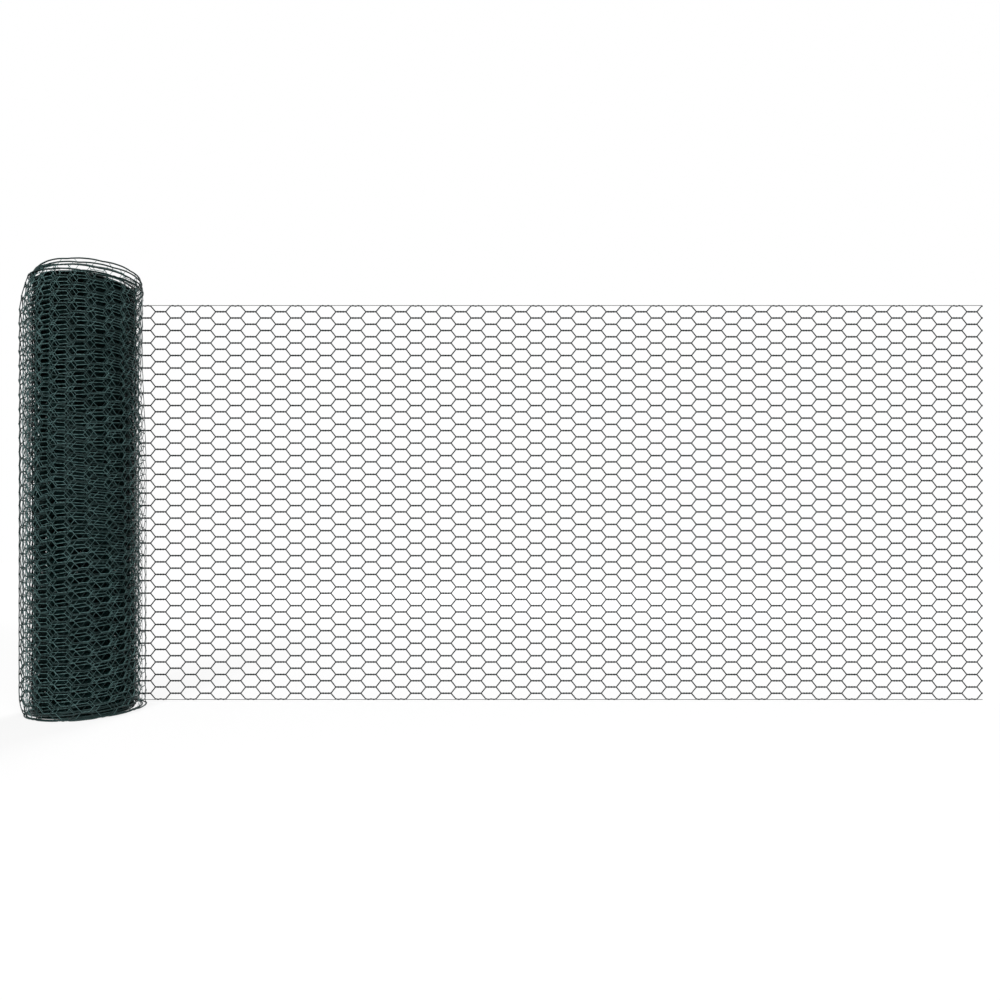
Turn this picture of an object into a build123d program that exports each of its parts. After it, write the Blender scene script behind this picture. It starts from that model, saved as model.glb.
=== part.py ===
"""Roll of hexagonal wire netting (chicken wire), stood on end with its free length drawn out to one side.

Millimetres, +Z up. The origin is on the roll's axis, at the level of the floor. The drawn-out netting leaves
the back of the roll along a tangent and runs towards +X, standing on its lower edge.
"""
import os
from math import hypot

from build123d import *

# Netting
wire_diameter = 1.0  # steel wire over its plastic coating
cell_width = 12.7  # from one twist to the next, across the netting
twist_length = 10.9  # twisted side of a cell, which lies along the netting
column_pitch = 15.25  # from one column of twists to the next, along the netting
half_rows_across = 63  # half cells between the two edge wires
cut_stub_length = 1.0  # twist left on the wires at the cut end

# Roll
bore_radius = 15.0
tight_turns = 22
tight_pitch = 1.2  # tight turns nest into each other's openings
loose_pitches = (1.8, 1.8, 1.9, 2.1)  # from the innermost loose turn to the outermost
end_groove_share = 0.5  # of the tight pitch, open between two neighbouring turns at an end
end_groove_depth = 1.2
loose_gap_depth = 14.0  # how far in the gap between two loose turns is open at an end
loose_lift = 10.0  # most that a loose turn rides above the others
loose_lift_shares = (0.4, 0.8, 1.0, 0.6)  # from the innermost loose turn to the outermost

# Drawn-out length, in columns of twists counted from the tangent line
free_columns = 57
columns_per_panel = 6
first_twist_share = 0.37  # of a twist, from the tangent line to the middle of the first column

wire_radius = wire_diameter / 2
twist_width = 2 * wire_diameter  # two wires side by side
edge_spacing = half_rows_across * cell_width / 2  # between the middles of the two edge wires
netting_width = edge_spacing + wire_diameter
tight_radius = bore_radius + tight_turns * tight_pitch
roll_radius = tight_radius + sum(loose_pitches)


# The wound roll

def lower_end():
    """Outline of the roll's lower end from the bore outwards, as (radius, height) points."""
    groove_width = end_groove_share * tight_pitch
    points = []
    for turn in range(tight_turns):
        inner = bore_radius + turn * tight_pitch
        land_end = inner + tight_pitch - groove_width
        points += [(inner, 0), (land_end, 0), (land_end + groove_width / 2, end_groove_depth)]
    points += [(tight_radius, 0), (tight_radius, loose_gap_depth)]
    outer = tight_radius
    for pitch, share in zip(loose_pitches, loose_lift_shares):
        outer += pitch
        inner = outer - wire_diameter
        lift = loose_lift * share
        points += [(inner, loose_gap_depth), (inner, lift), (outer, lift), (outer, loose_gap_depth)]
    return points[:-1]


def upper_height(radius, height):
    """Height at the upper end for a point of the lower end: a lifted turn is as tall as the others."""
    on_loose_turn = radius > tight_radius and height < loose_gap_depth
    return netting_width + height if on_loose_turn else netting_width - height


def wound_roll():
    """All the wound turns as one turned solid, with the bore, and with each turn showing on both ends."""
    lower = lower_end()
    upper = [(radius, upper_height(radius, height)) for radius, height in reversed(lower)]
    section = make_face(Plane.XZ * Polyline(*lower, *upper, close=True))
    return revolve(section, Axis.Z)


# The drawn-out netting, laid out in (distance along, height above the lower edge wire's middle)

def column_middle(column):
    """How far along the netting the middle of a column of twists is from the tangent line."""
    return first_twist_share * twist_length + column * column_pitch


def opening_side(lowest, highest):
    """Corners up one side of a cell's clear opening, as (half breadth, height) from the cell's middle."""
    run = column_pitch - twist_length
    rise = cell_width / 2
    point = run + twist_length / 2 - wire_radius * hypot(run, rise) / rise
    heights = sorted({lowest, min(max(0, lowest), highest), highest})
    return [(point - abs(height) * run / rise, height) for height in heights]


def column_openings(column):
    """Sides of the openings along one column, upwards, with the half cell against one of the edge wires."""
    reach = cell_width / 2 - twist_width / 2
    openings = []
    for half_row in range(half_rows_across + 1):
        if half_row % 2 != column % 2:
            continue
        lowest = wire_radius if half_row == 0 else -reach
        highest = -wire_radius if half_row == half_rows_across else reach
        middle = half_row * cell_width / 2
        openings.append([(breadth, middle + height) for breadth, height in opening_side(lowest, highest)])
    return openings


def opening_outline(column, side):
    """Closed outline of one opening from the corners up one of its sides."""
    middle = column_middle(column)
    right = [(middle + breadth, height) for breadth, height in side]
    left = [(middle - breadth, height) for breadth, height in reversed(side)]
    return right + left


def notched_edge(column, position, direction):
    """Corners up a panel's edge that cuts through a column of cells, which open into it in one direction."""
    corners = []
    for side in column_openings(column):
        notch = [(column_middle(column) + direction * breadth, height) for breadth, height in side]
        corners += [(position, notch[0][1]), *notch, (position, notch[-1][1])]
    return corners


def closed_wire(outline):
    """A flat outline stood upright against the back of the roll, with its lower edge on the floor."""
    return Wire.make_polygon([(along, roll_radius, height + wire_radius) for along, height in outline])


def netting_panel(first_column, last_column, start, end):
    """Flat netting that starts and ends in the twists of two columns, fused where its wires cross."""
    bottom, top = -wire_radius, edge_spacing + wire_radius
    outline = [(start, bottom), (end, bottom), *notched_edge(last_column, end, -1), (end, top), (start, top)]
    outline += reversed(notched_edge(first_column, start, 1))
    openings = []
    for column in range(first_column + 1, last_column):
        openings += [closed_wire(opening_outline(column, side)) for side in column_openings(column)]
    return Solid.extrude(Face(closed_wire(outline), openings), (0, twist_width, 0))


def drawn_out_panels():
    """The free length as panels of a few columns each, from the tangent line to where the netting was cut off."""
    step = columns_per_panel
    starts = range(step, free_columns - step, step)
    repeat = netting_panel(step, 2 * step, column_middle(step), column_middle(2 * step))
    panels = [netting_panel(0, step, 0, column_middle(step))]
    panels += [Pos((start - step) * column_pitch, 0, 0) * repeat for start in starts]
    last_start = starts[-1] + step
    cut_end = column_middle(free_columns + 1) - twist_length / 2 + cut_stub_length
    return panels + [netting_panel(last_start, free_columns + 1, column_middle(last_start), cut_end)]


def main():
    os.makedirs("parts", exist_ok=True)
    export_step(wound_roll(), "parts/wound_roll.step")
    for number, panel in enumerate(drawn_out_panels(), start=1):
        export_step(panel, f"parts/drawn_out_netting_{number:02d}.step", write_pcurves=False)


main()
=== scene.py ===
"""Looks of a standing roll of plastic-coated hexagonal wire netting with a length drawn out to its right.

Every wire is a tube. The netting is first laid out flat, as (along, across, out) points: along runs from
the inner end of the roll, where it is negative, through the tangent line, at zero, to the cut end. Then
what lies before the tangent line is wound up. Lengths are in metres.
"""
from collections import namedtuple

import bpy
import numpy as np
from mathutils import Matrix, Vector


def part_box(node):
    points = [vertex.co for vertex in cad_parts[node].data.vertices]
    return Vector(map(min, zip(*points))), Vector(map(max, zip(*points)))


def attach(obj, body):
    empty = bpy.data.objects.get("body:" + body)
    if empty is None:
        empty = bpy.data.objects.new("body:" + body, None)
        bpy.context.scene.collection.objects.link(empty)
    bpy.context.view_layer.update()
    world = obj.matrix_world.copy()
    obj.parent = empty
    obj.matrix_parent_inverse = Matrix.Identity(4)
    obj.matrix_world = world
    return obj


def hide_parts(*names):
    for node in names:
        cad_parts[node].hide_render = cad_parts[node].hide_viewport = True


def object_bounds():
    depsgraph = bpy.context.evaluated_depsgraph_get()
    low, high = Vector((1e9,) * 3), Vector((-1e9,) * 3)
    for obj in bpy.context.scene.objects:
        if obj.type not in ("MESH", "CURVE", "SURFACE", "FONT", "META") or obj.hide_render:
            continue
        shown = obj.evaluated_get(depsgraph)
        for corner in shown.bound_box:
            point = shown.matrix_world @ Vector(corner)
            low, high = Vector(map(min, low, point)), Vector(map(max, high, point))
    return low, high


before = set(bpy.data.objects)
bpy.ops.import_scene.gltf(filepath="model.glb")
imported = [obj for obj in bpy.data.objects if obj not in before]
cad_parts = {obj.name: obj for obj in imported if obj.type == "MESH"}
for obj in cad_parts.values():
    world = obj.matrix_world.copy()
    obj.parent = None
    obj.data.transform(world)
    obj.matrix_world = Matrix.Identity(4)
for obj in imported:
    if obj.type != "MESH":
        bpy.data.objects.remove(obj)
cad_low, cad_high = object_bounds()

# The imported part
sheet_nodes = sorted(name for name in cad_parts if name.startswith("drawn_out_netting"))
sheet_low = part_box(sheet_nodes[0])[0]
sheet_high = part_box(sheet_nodes[-1])[1]
sheet_y = (sheet_low.y + sheet_high.y) / 2

# Netting
wire_radius = 0.00056  # over the plastic coating
half_rows = 63  # half cells between the two edge wires
twist_length = 0.0109  # twisted side of a cell, which lies along the netting
column_pitch = 0.01525  # from one column of twists to the next, along the netting
free_columns = 57  # columns of twists that lie wholly past the tangent line
cut_stub = 0.001  # twist left on the wires at the cut end
turns_per_twist = 2
twist_share = 0.7  # of a wire's thickness, between two twisted wires, whose coatings are pressed together
edge_wire_share = 0.46  # thickness of the drawn-out length's edge wires, of its other wires'
loose_wire_share = 0.43  # thickness of the loose turns' wires, of the drawn-out length's
tight_wire_share = 1.1  # thickness of the tight turns' wires, of the drawn-out length's
rim_wire_share = 1.25  # thickness of the roll's edge wires, of the drawn-out length's other wires'
edge_spacing = sheet_high.z - sheet_low.z - 2 * wire_radius
half_cell = edge_spacing / half_rows
first_column_at = sheet_high.x - cut_stub + twist_length / 2 - (free_columns + 1) * column_pitch

# Winding, counted in turns inwards from the tangent line at the back of the roll
loose_pitches = (0.0022, 0.0007, 0.0008, 0.0007, 0.0007, 0.0016)  # from the outermost turn inwards
tight_turns = 22
tight_pitch = 0.00125
core_shift = 0.0021  # how far the tight turns lie to the right of the roll's axis
loose_turns = len(loose_pitches)
all_turns = loose_turns + tight_turns
grid_points = 20000  # places on the spiral between which its length is added up

# How far the loose turns and the next one ride up at the back, left, front and right, from outside inwards
turn_lifts = (
    (0, 0.001, 0, 0.002),
    (0.0015, 0.0005, 0.0006, 0.0015),
    (0.002, 0, 0.0043, 0.006),
    (0.004, 0, 0.0065, 0.0105),
    (0.008, 0.0003, 0.0097, 0.0138),
    (0.008, 0, 0.0055, 0.0085),
    (0.004, 0, 0.001, 0.003),
)
quarter_lifts = [lift for lifts in turn_lifts for lift in lifts] + [0]
quarters_per_turn = len(turn_lifts[0])
least_lift = 0.0003  # keeps the roll's thick edge wires out of the floor

# How the wound netting is pulled out of shape
wander_depth = 0.0018  # how far the tight turns wander along the axis
wander_rates = (0.37, 0.83)  # waves in a turn
wander_start_turns = 2.5  # over which the wander sets in
narrowing_share = 0.003  # of the width, which the pull takes from the tight turns
narrowing_start_turns = 2  # over which the narrowing sets in, from the last loose turn
wobble_depth = 0.002  # how far the mesh is pulled aside
wobble_waves = ((0.15, 0.621), (0.096, -1.818))  # length of a wave along the netting, waves across it

# Where the loose turns stand out from the spiral or are drawn in
slack_start_turns = 0.25  # over which the slack sets in, from the tangent line
bulge_turn = 0.78  # the right side of the outermost turn
bulge_half_turns = 0.34  # from the middle of the bulge to where it ends
bulge_depth = 0.0055
next_bulge_share = 0.45  # of the bulge, in the turn below it
bulge_full_share = 0.55  # of the height, up to which the bulge is full
bulge_top_share = 0.92  # of the height, from which the bulge is least
bulge_least_share = 0.25  # of the bulge, left at the top
left_turn = 0.34  # the left side, which stands out but is drawn in at its ends
swell_depth = 0.001
shoulder_start_share = 0.9  # of the height
shoulder_depth = 0.007
toe_end_share = 0.05  # of the height
toe_depth = 0.004
drawn_in_turns = 14  # over which the drawing in at the ends fades
flare_turn = 0.84  # the right side, which stands out at the top
flare_start_share = 0.75  # of the height
flare_depth = 0.0028

# The photograph's frame, in pixels
image_size = 1000
photo_top_edge = 305.5
photo_bottom_edge = 699.5
photo_cut_end = 982.5
photo_horizon = 555


# Winding

def ease(value):
    """A smooth step from 0 to 1."""
    value = np.clip(value, 0, 1)
    return value * value * (3 - 2 * value)


def smooth_curve(position, values):
    """A smooth curve through evenly spaced values, which keeps its last value."""
    values = np.asarray(values, dtype=float)
    last = len(values) - 1
    position = np.clip(position, 0, last)
    index = np.minimum(position.astype(int), last - 1)
    share = position - index
    before, start, end, after = (values[np.clip(index + step, 0, last)] for step in (-1, 0, 1, 2))
    slope_in, slope_out = (end - before) / 2, (after - start) / 2
    rise = end - start
    bend = 3 * rise - 2 * slope_in - slope_out
    return start + share * (slope_in + share * (bend + share * (slope_in + slope_out - 2 * rise)))


def turn_radius(turn):
    """Radius of the spiral, without the netting's slack."""
    loose_ends = sheet_y - np.cumsum((0,) + loose_pitches)
    inner_end = loose_ends[-1] - tight_turns * tight_pitch
    return np.interp(turn, (*range(loose_turns + 1), all_turns), (*loose_ends, inner_end))


turn_grid = np.linspace(0, all_turns, grid_points)
radius_grid = turn_radius(turn_grid)
lengths_per_turn = np.hypot(2 * np.pi * radius_grid, np.gradient(radius_grid, turn_grid))
grid_lengths = (lengths_per_turn[1:] + lengths_per_turn[:-1]) / 2 * np.diff(turn_grid)
length_grid = np.concatenate([[0], np.cumsum(grid_lengths)])
wound_columns = int(length_grid[-1] / column_pitch)


def turn_at(along):
    """Turn at a place along the netting, which is 0 past the tangent line."""
    return np.interp(-along, length_grid, turn_grid)


def column_at_turn(turn):
    """Column of twists nearest to a turn, counted from the tangent line and negative on the roll."""
    return -round(float(np.interp(turn, turn_grid, length_grid)) / column_pitch)


def waves_at(turn):
    """Slow waves from turn to turn, between -1 and 1."""
    return sum(np.sin(2 * np.pi * rate * turn) for rate in wander_rates) / len(wander_rates)


def turn_lift(turn):
    """How far the netting rides up."""
    wander = wander_depth * (1 + waves_at(turn)) / 2 * ease((turn - loose_turns) / wander_start_turns)
    least = least_lift * ease(turn / slack_start_turns)
    return wander + np.maximum(smooth_curve(quarters_per_turn * turn, quarter_lifts), least)


def slack(turn, height_share):
    """How far the loose netting stands out from its spiral."""
    low_down = ease((bulge_top_share - height_share) / (bulge_top_share - bulge_full_share))
    bulge_share = bulge_least_share + (1 - bulge_least_share) * low_down
    outer, inner = (ease(1 - np.abs(turn - bulge_turn - after) / bulge_half_turns) for after in (0, 1))
    bulge = bulge_depth * bulge_share * (outer + next_bulge_share * inner)
    loose_share = np.clip(1 - turn / loose_turns, 0, 1)
    on_left = (1 + np.cos(2 * np.pi * (turn - left_turn))) / 2 * ease(turn / slack_start_turns)
    on_right = (1 + np.cos(2 * np.pi * (turn - flare_turn))) / 2 * np.sin(np.pi * loose_share)
    shoulder_share = np.clip((height_share - shoulder_start_share) / (1 - shoulder_start_share), 0, 1)
    toe_share = np.clip(1 - height_share / toe_end_share, 0, 1)
    drawn_in = shoulder_depth * shoulder_share ** 2 + toe_depth * toe_share ** 2
    drawn_in = drawn_in * np.clip(1 - turn / drawn_in_turns, 0, 1)
    flare = flare_depth * ease((height_share - flare_start_share) / (1 - flare_start_share))
    return bulge + on_left * (swell_depth * loose_share - drawn_in) + on_right * flare


def pulled_about(along, across):
    """Places in the flat netting once its wound length is pulled aside and its tight turns narrowed."""
    turn = turn_at(along)
    share = across / edge_spacing
    depth = wobble_depth * ease(turn / slack_start_turns)
    waves = [np.sin(2 * np.pi * (along / length + share * tilt)) for length, tilt in wobble_waves]
    narrowed = ease((turn - loose_turns + 1) / narrowing_start_turns)
    narrowing = narrowing_share * narrowed * (1 + waves_at(turn) / 2)
    away_from_edges = 4 * share * (1 - share)
    return along + depth * waves[0], across * (1 - narrowing) + depth * away_from_edges * waves[1]


def wound_up(points):
    """Flat netting in its place: straight past the tangent line, and on the spiral before it."""
    along, across, out = np.moveaxis(points, -1, 0)
    along, across = pulled_about(along, across)
    turn = turn_at(along)
    radius = turn_radius(turn) + slack(turn, across / edge_spacing) + out
    angle = np.pi / 2 + 2 * np.pi * turn
    height = sheet_low.z + wire_radius + across
    shift = core_shift * ease(turn / loose_turns)
    on_roll = [radius * np.cos(angle) + shift, radius * np.sin(angle), height + turn_lift(turn)]
    on_sheet = [along, sheet_y + out, height]
    return np.where((along < 0)[..., None], np.stack(on_roll, -1), np.stack(on_sheet, -1))


# The flat netting

Detail = namedtuple("Detail", "twist_steps turns diagonal_steps sides")


def wire_share(turn):
    """Thickness of the wires of a turn, of the drawn-out length's."""
    shares = (1, loose_wire_share, loose_wire_share, tight_wire_share)
    return np.interp(turn, (0, 1, loose_turns, loose_turns + 1), shares)


def twist_samples(columns, steps, turns):
    """Points of every wire along the twists of some columns, by wire, column, step and coordinate."""
    wire = np.arange(half_rows + 2)[:, None, None]
    column = np.asarray(columns)[None, :, None]
    share = np.linspace(0, 1, steps + 1)[None, None, :]
    is_lower = (wire + column) % 2 == 1
    half_row = np.where(is_lower, wire, wire - 1)
    is_paired = (half_row >= 0) & (half_row <= half_rows)
    side = np.where(is_lower, -1, 1)
    edge = np.clip(half_row, 0, half_rows)
    inset = twist_share * wire_radius * ((edge == 0).astype(float) - (edge == half_rows))
    angle = 2 * np.pi * turns * share
    along = first_column_at + column * column_pitch + (share - 1 / 2) * twist_length
    reach = twist_share * wire_radius * wire_share(turn_at(along))
    twisted_across = edge * half_cell + inset + side * reach * np.cos(angle)
    across = np.where(is_paired, twisted_across, edge * half_cell)
    out = np.where(is_paired, side * reach * np.sin(angle), 0)
    return np.stack(np.broadcast_arrays(along, across, out), axis=-1)


def wire_lines(first, last, detail, stub):
    """Middle lines of all wires from the start of one column's twists to the start of another's."""
    samples = twist_samples(range(first, last + 1), detail.twist_steps, detail.turns)
    starts = samples[:, 1:, :1]
    ends = samples[:, :-1, -1:]
    share = (np.arange(1, detail.diagonal_steps) / detail.diagonal_steps)[None, None, :, None]
    diagonals = ends + (starts - ends) * share
    lines = np.concatenate([samples[:, :-1], diagonals], axis=2)
    lines = lines.reshape(len(lines), -1, 3)
    lines = np.concatenate([lines, samples[:, -1, :1]], axis=1)
    if stub:
        lines = np.concatenate([lines, lines[:, -1:] + (stub, 0, 0)], axis=1)
    return lines


def line_radius(lines):
    """Radius of every wire along its middle line."""
    turn = turn_at(lines[..., 0])
    share = wire_share(turn)
    share[[0, -1]] = np.interp(turn[[0, -1]], (0, slack_start_turns), (edge_wire_share, rim_wire_share))
    return wire_radius * share


def unit(vectors):
    return vectors / np.linalg.norm(vectors, axis=-1, keepdims=True)


def tube_rings(lines, sides):
    """Rings of points round the middle lines, as thick on average as the round wire."""
    steps = unit(np.diff(lines, axis=1))
    tangent = unit(np.concatenate([steps[:, :1], steps[:, :-1] + steps[:, 1:], steps[:, -1:]], axis=1))
    outward = np.array((0, 0, 1.0))
    first = unit(outward - tangent * tangent[..., 2:])
    second = np.cross(tangent, first)
    angle = 2 * np.pi * np.arange(sides) / sides
    radius = line_radius(lines)[..., None, None] * np.pi / (sides * np.sin(np.pi / sides))
    ring = np.cos(angle)[:, None] * first[..., None, :] + np.sin(angle)[:, None] * second[..., None, :]
    return lines[..., None, :] + radius * ring


# Meshes

strip_margin_share = 0.15  # of a strip of the map, left free on each side
wire_slot, cut_slot, rim_slot = range(3)


def bake_map(wires, points, sides):
    """Map of a piece: one strip for every side of every wire, and one strip of small spots for the ends."""
    strips = wires * sides + 1
    strip = np.arange(wires * sides).reshape(wires, 1, sides)
    low = (strip + strip_margin_share) / strips
    high = (strip + 1 - strip_margin_share) / strips
    start = np.arange(points - 1)[None, :, None] / (points - 1)
    end = start + 1 / (points - 1)
    quads = np.stack(np.broadcast_arrays(start, low, end, low, end, high, start, high), axis=-1)
    spots = 2 * wires
    angle = 2 * np.pi * np.arange(sides) / sides
    reach = (1 / 2 - strip_margin_share) / max(strips, spots)
    across = (np.arange(spots)[:, None] + 1 / 2) / spots + reach * np.cos(angle)
    up = 1 - 1 / 2 / strips + reach * np.sin(angle) + 0 * across
    return np.concatenate([quads.ravel(), np.stack([across, up], axis=-1).ravel()])


def netting_mesh(name, rings, cut_at_end):
    """All tubes of one piece as a single mesh with closed ends."""
    wires, points, sides, _ = rings.shape
    index = np.arange(wires * points * sides).reshape(wires, points, sides)
    near, far = index[:, :-1], index[:, 1:]
    next_near, next_far = (np.roll(ring, -1, axis=2) for ring in (near, far))
    quads = np.stack([near, far, next_far, next_near], axis=-1).reshape(-1, 4)
    caps = np.concatenate([index[:, 0], index[:, -1, ::-1]])
    corners = np.concatenate([quads.ravel(), caps.ravel()])
    starts = np.concatenate([np.arange(len(quads)) * 4, quads.size + np.arange(len(caps)) * sides])
    mesh = bpy.data.meshes.new(name)
    mesh.vertices.add(wires * points * sides)
    mesh.vertices.foreach_set("co", wound_up(rings).astype(np.float32).ravel())
    mesh.loops.add(len(corners))
    mesh.loops.foreach_set("vertex_index", corners.astype(np.int32))
    mesh.polygons.add(len(starts))
    mesh.polygons.foreach_set("loop_start", starts.astype(np.int32))
    mesh.update(calc_edges=True)
    mesh.shade_smooth()
    slot = np.full(len(starts), wire_slot, dtype=np.int32)
    per_wire = (points - 1) * sides
    slot[:per_wire] = rim_slot
    slot[(wires - 1) * per_wire:wires * per_wire] = rim_slot
    if cut_at_end:
        slot[-wires:] = cut_slot
    mesh.polygons.foreach_set("material_index", slot)
    piece_map = mesh.uv_layers.new(name="OFBake")
    piece_map.uv.foreach_set("vector", bake_map(wires, points, sides).astype(np.float32))
    return mesh


def netting_piece(name, first, last, detail, replaced, wire, rim, stub=0):
    """One piece of netting between two columns, in place of some nodes of the part."""
    rings = tube_rings(wire_lines(first, last, detail, stub), detail.sides)
    mesh = netting_mesh(name, rings, stub > 0)
    for material in (wire, cut_steel, rim):
        mesh.materials.append(material)
    piece = bpy.data.objects.new(name, mesh)
    bpy.context.scene.collection.objects.link(piece)
    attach(piece, "root")
    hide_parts(*replaced)


# Materials

patch_scale = 45  # of the noise that sets the coating's patches of darker and lighter green
patch_detail = 4
patch_noise = (0.3, 0.72)  # at which a patch is darkest and lightest
grain_scale = 1400
grain_detail = 2
grain_roughness = (0.28, 0.46)
grain_bump_strength = 0.25
grain_bump_depth = 0.00005
scratch_scale = 6000
scratch_detail = 2
scratch_noise = (0, 1)
cut_steel_colours = ((0.22, 0.22, 0.23), (0.5, 0.5, 0.5))
cut_steel_roughness = 0.4


def new_material(name):
    material = bpy.data.materials.new(name)
    material.use_nodes = True
    return material, material.node_tree.nodes, material.node_tree.links


def add_noise(nodes, links, scale, detail):
    """Noise that is fixed to the piece."""
    place = nodes.new("ShaderNodeTexCoord")
    noise = nodes.new("ShaderNodeTexNoise")
    noise.inputs["Scale"].default_value = scale
    noise.inputs["Detail"].default_value = detail
    links.new(place.outputs["Object"], noise.inputs["Vector"])
    return noise.outputs["Fac"]


def add_colours(nodes, links, noise, places, colours):
    """Colour that goes from one to the other as the noise grows."""
    ramp = nodes.new("ShaderNodeValToRGB")
    for element, place, colour in zip(ramp.color_ramp.elements, places, colours):
        element.position = place
        element.color = (*colour, 1)
    links.new(noise, ramp.inputs["Fac"])
    return ramp.outputs["Color"]


def make_coated_wire(name, dark, light, shine):
    """Plastic coating in patches of two greens, with a fine grain."""
    material, nodes, links = new_material(name)
    shader = nodes["Principled BSDF"]
    shader.inputs["Specular IOR Level"].default_value = shine
    patches = add_noise(nodes, links, patch_scale, patch_detail)
    colour = add_colours(nodes, links, patches, patch_noise, (dark, light))
    links.new(colour, shader.inputs["Base Color"])
    grain = add_noise(nodes, links, grain_scale, grain_detail)
    gloss = nodes.new("ShaderNodeMapRange")
    gloss.inputs["To Min"].default_value = grain_roughness[0]
    gloss.inputs["To Max"].default_value = grain_roughness[1]
    links.new(grain, gloss.inputs["Value"])
    links.new(gloss.outputs["Result"], shader.inputs["Roughness"])
    bump = nodes.new("ShaderNodeBump")
    bump.inputs["Strength"].default_value = grain_bump_strength
    bump.inputs["Distance"].default_value = grain_bump_depth
    links.new(grain, bump.inputs["Height"])
    links.new(bump.outputs["Normal"], shader.inputs["Normal"])
    return material


def make_cut_steel():
    """Bare steel where the wires were cut off."""
    material, nodes, links = new_material("cut_steel")
    shader = nodes["Principled BSDF"]
    shader.inputs["Metallic"].default_value = 1
    shader.inputs["Roughness"].default_value = cut_steel_roughness
    scratches = add_noise(nodes, links, scratch_scale, scratch_detail)
    colour = add_colours(nodes, links, scratches, scratch_noise, cut_steel_colours)
    links.new(colour, shader.inputs["Base Color"])
    return material


# Darker and lighter green patches of each coating. The coating of most loose turns is the same green
# painted several times lighter, as painted light, and that of the tight turns is it painted darker, as
# painted shade
coated_wire = make_coated_wire("coated_wire", (0.024, 0.03, 0.03), (0.046, 0.054, 0.054), shine=0.1)
painted_light_wire = make_coated_wire("painted_light_wire", (0.087, 0.158, 0.155), (0.158, 0.27, 0.265), shine=0.1)
inner_wire = make_coated_wire("inner_wire", (0.022, 0.043, 0.042), (0.041, 0.074, 0.072), shine=0.1)
# Painted shade: the coating made darker for the tight turns inside the roll
shaded_wire = make_coated_wire("shaded_wire", (0.0016, 0.0095, 0.009), (0.0044, 0.019, 0.018), shine=0.05)
cut_steel = make_cut_steel()


# Pieces

sheet_detail = Detail(twist_steps=8, turns=turns_per_twist, diagonal_steps=2, sides=4)
loose_detail = Detail(twist_steps=8, turns=turns_per_twist, diagonal_steps=2, sides=3)
middle_detail = Detail(twist_steps=4, turns=1, diagonal_steps=1, sides=3)
tight_detail = Detail(twist_steps=2, turns=0, diagonal_steps=1, sides=3)
sheet_cuts = (0, 20, 39, free_columns + 1)  # columns at which the drawn-out length is split into pieces
painted_light_turns = (1, 2, 3, 4)  # loose turns whose coating is painted lighter, as painted light, where 0 is the outermost
outer_tight_turns = 8  # in the outer one of the two pieces that hold the tight turns

nodes_per_sheet = len(sheet_nodes) / (len(sheet_cuts) - 1)
for number, (first, last) in enumerate(zip(sheet_cuts, sheet_cuts[1:])):
    own = sheet_nodes[round(number * nodes_per_sheet):round((number + 1) * nodes_per_sheet)]
    stub = cut_stub if last == sheet_cuts[-1] else 0
    name = f"netting_sheet_{number + 1}"
    netting_piece(name, first, last, sheet_detail, own, coated_wire, coated_wire, stub)

roll = ["wound_roll"]
for number in range(loose_turns):
    first, last = column_at_turn(number + 1), column_at_turn(number)
    detail = loose_detail if number < loose_turns / 2 else middle_detail
    # These turns take the coating painted lighter, as painted light; the others keep the coating's own
    # green
    wire = painted_light_wire if number in painted_light_turns else inner_wire
    netting_piece(f"loose_turn_{number + 1}", first, last, detail, roll, wire, inner_wire)

core_start = column_at_turn(loose_turns)
outer_end = column_at_turn(loose_turns + outer_tight_turns)
inner_end = 1 - wound_columns
# The tight turns take the coating painted darker, as painted shade inside the roll
netting_piece("tight_turns_outer", outer_end, core_start, tight_detail, roll, shaded_wire, inner_wire)
netting_piece("tight_turns_inner", inner_end, outer_end, tight_detail, roll, shaded_wire, inner_wire)


# Stage

floor_reach = 12
floor_grey = 0.25
floor_roughness = 0.9
floor_glow = (0.82, 0.985)  # seen by the camera, near the lamps and away from them
floor_glow_reach = (0.8, 3.5)  # distances from the roll's axis between which the glow grows
world_strength = 0.1
camera_distance = 0.731  # from the drawn-out length
camera_clip_start = 0.01
sensor_width_mm = 36
white = (1, 1, 1, 1)


def strength_when_seen(nodes, links, otherwise, when_seen):
    """One strength for what the camera sees, also mirrored or through glass, and another for the light."""
    rays = nodes.new("ShaderNodeLightPath")
    seen = rays.outputs["Is Camera Ray"]
    for kind in ("Is Glossy Ray", "Is Transmission Ray"):
        either = nodes.new("ShaderNodeMath")
        either.operation = "MAXIMUM"
        links.new(seen, either.inputs[0])
        links.new(rays.outputs[kind], either.inputs[1])
        seen = either.outputs["Value"]
    strength = nodes.new("ShaderNodeMapRange")
    strength.inputs["To Min"].default_value = otherwise
    strength.inputs["To Max"].default_value = when_seen
    links.new(seen, strength.inputs["Value"])
    return strength.outputs["Result"]


def make_white_floor():
    """Floor that takes shadows, and whose glow makes up for the lamps' fading with distance."""
    material, nodes, links = new_material("white_floor")
    shader = nodes["Principled BSDF"]
    shader.inputs["Base Color"].default_value = (floor_grey, floor_grey, floor_grey, 1)
    shader.inputs["Roughness"].default_value = floor_roughness
    shader.inputs["Specular IOR Level"].default_value = 0
    shader.inputs["Emission Color"].default_value = white
    place = nodes.new("ShaderNodeTexCoord")
    distance = nodes.new("ShaderNodeVectorMath")
    distance.operation = "LENGTH"
    away_from_lamps = nodes.new("ShaderNodeMapRange")
    for end, reach, strength in zip(("Min", "Max"), floor_glow_reach, floor_glow):
        away_from_lamps.inputs[f"From {end}"].default_value = reach
        away_from_lamps.inputs[f"To {end}"].default_value = strength
    glow = nodes.new("ShaderNodeMath")
    glow.operation = "MULTIPLY"
    links.new(place.outputs["Object"], distance.inputs[0])
    links.new(distance.outputs["Value"], away_from_lamps.inputs["Value"])
    links.new(away_from_lamps.outputs["Result"], glow.inputs[0])
    links.new(strength_when_seen(nodes, links, 0, 1), glow.inputs[1])
    links.new(glow.outputs["Value"], shader.inputs["Emission Strength"])
    return material


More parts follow.
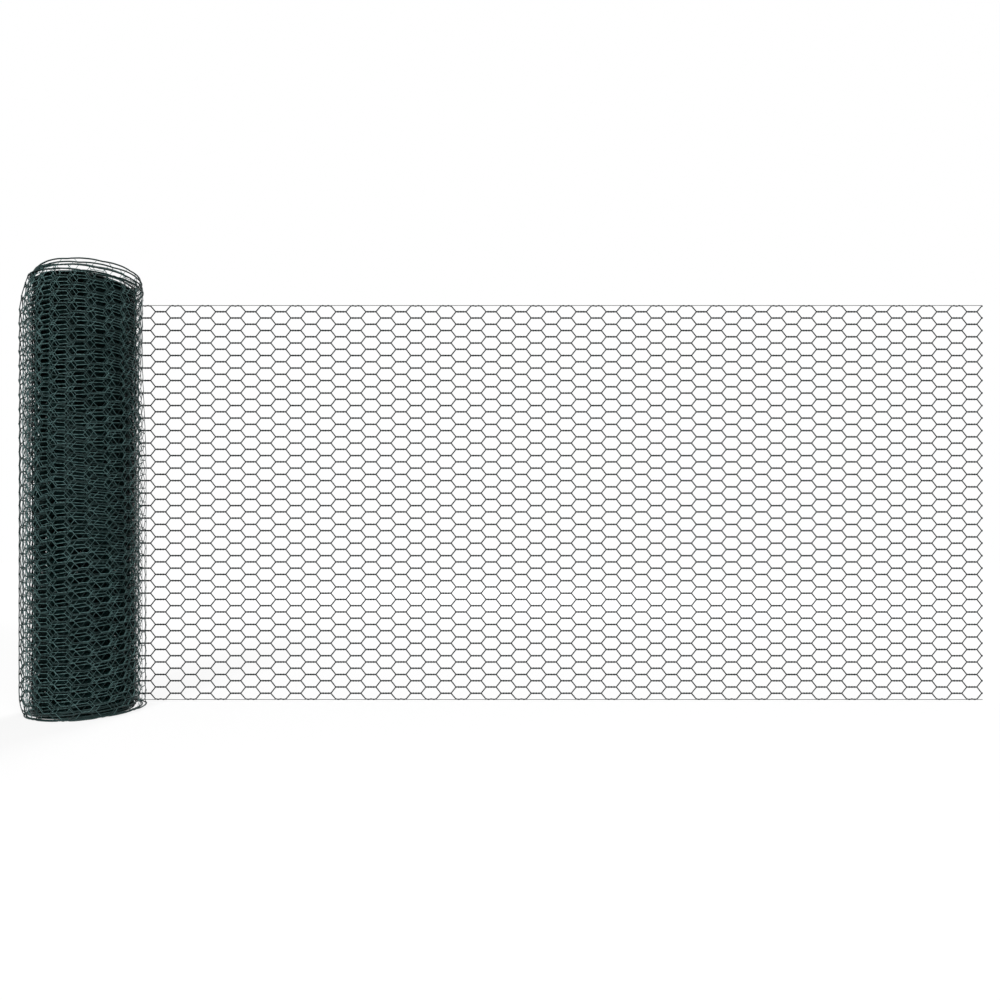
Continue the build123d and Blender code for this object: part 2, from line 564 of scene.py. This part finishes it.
def make_floor():
    mesh = bpy.data.meshes.new("floor")
    low, high = -floor_reach, floor_reach
    mesh.from_pydata([(low, low, 0), (high, low, 0), (high, high, 0), (low, high, 0)], [], [(0, 1, 2, 3)])
    mesh.materials.append(make_white_floor())
    floor = bpy.data.objects.new("floor", mesh)
    bpy.context.scene.collection.objects.link(floor)


def make_world():
    world = bpy.data.worlds.new("studio")
    world.use_nodes = True
    nodes, links = world.node_tree.nodes, world.node_tree.links
    background = nodes["Background"]
    background.inputs["Color"].default_value = white
    links.new(strength_when_seen(nodes, links, world_strength, 1), background.inputs["Strength"])
    bpy.context.scene.world = world


def make_lamp(name, place, size, power):
    """Round soft lamp that points at the middle of the part."""
    light = bpy.data.lights.new(name, "AREA")
    light.shape = "DISK"
    light.size = size
    light.energy = power
    lamp = bpy.data.objects.new(name, light)
    lamp.location = place
    to_part = (cad_low + cad_high) / 2 - Vector(place)
    lamp.rotation_euler = to_part.to_track_quat("-Z", "Y").to_euler()
    bpy.context.scene.collection.objects.link(lamp)


def make_camera():
    """Level camera that puts the drawn-out length where the photograph shows it."""
    pixel = edge_spacing / (photo_bottom_edge - photo_top_edge)
    camera = bpy.data.cameras.new("camera")
    camera.sensor_width = sensor_width_mm
    camera.lens = camera.sensor_width * camera_distance / (pixel * image_size)
    camera.shift_y = photo_horizon / image_size - 1 / 2
    camera.clip_start = camera_clip_start
    view = bpy.data.objects.new("camera", camera)
    view.location = (
        sheet_high.x - (photo_cut_end - image_size / 2) * pixel,
        sheet_y - camera_distance,
        sheet_low.z + wire_radius + (photo_bottom_edge - photo_horizon) * pixel,
    )
    view.rotation_euler = (np.pi / 2, 0, 0)
    bpy.context.scene.collection.objects.link(view)
    bpy.context.scene.camera = view


make_floor()
make_world()
make_lamp("left", place=(-0.2, -2.6, 1.1), size=0.9, power=46)
make_lamp("right", place=(1.6, -2.05, 1.1), size=0.9, power=31)
make_lamp("back", place=(0.4, 2.3, 1.7), size=1.4, power=42)
make_camera()
bpy.context.scene.view_settings.view_transform = "Standard"
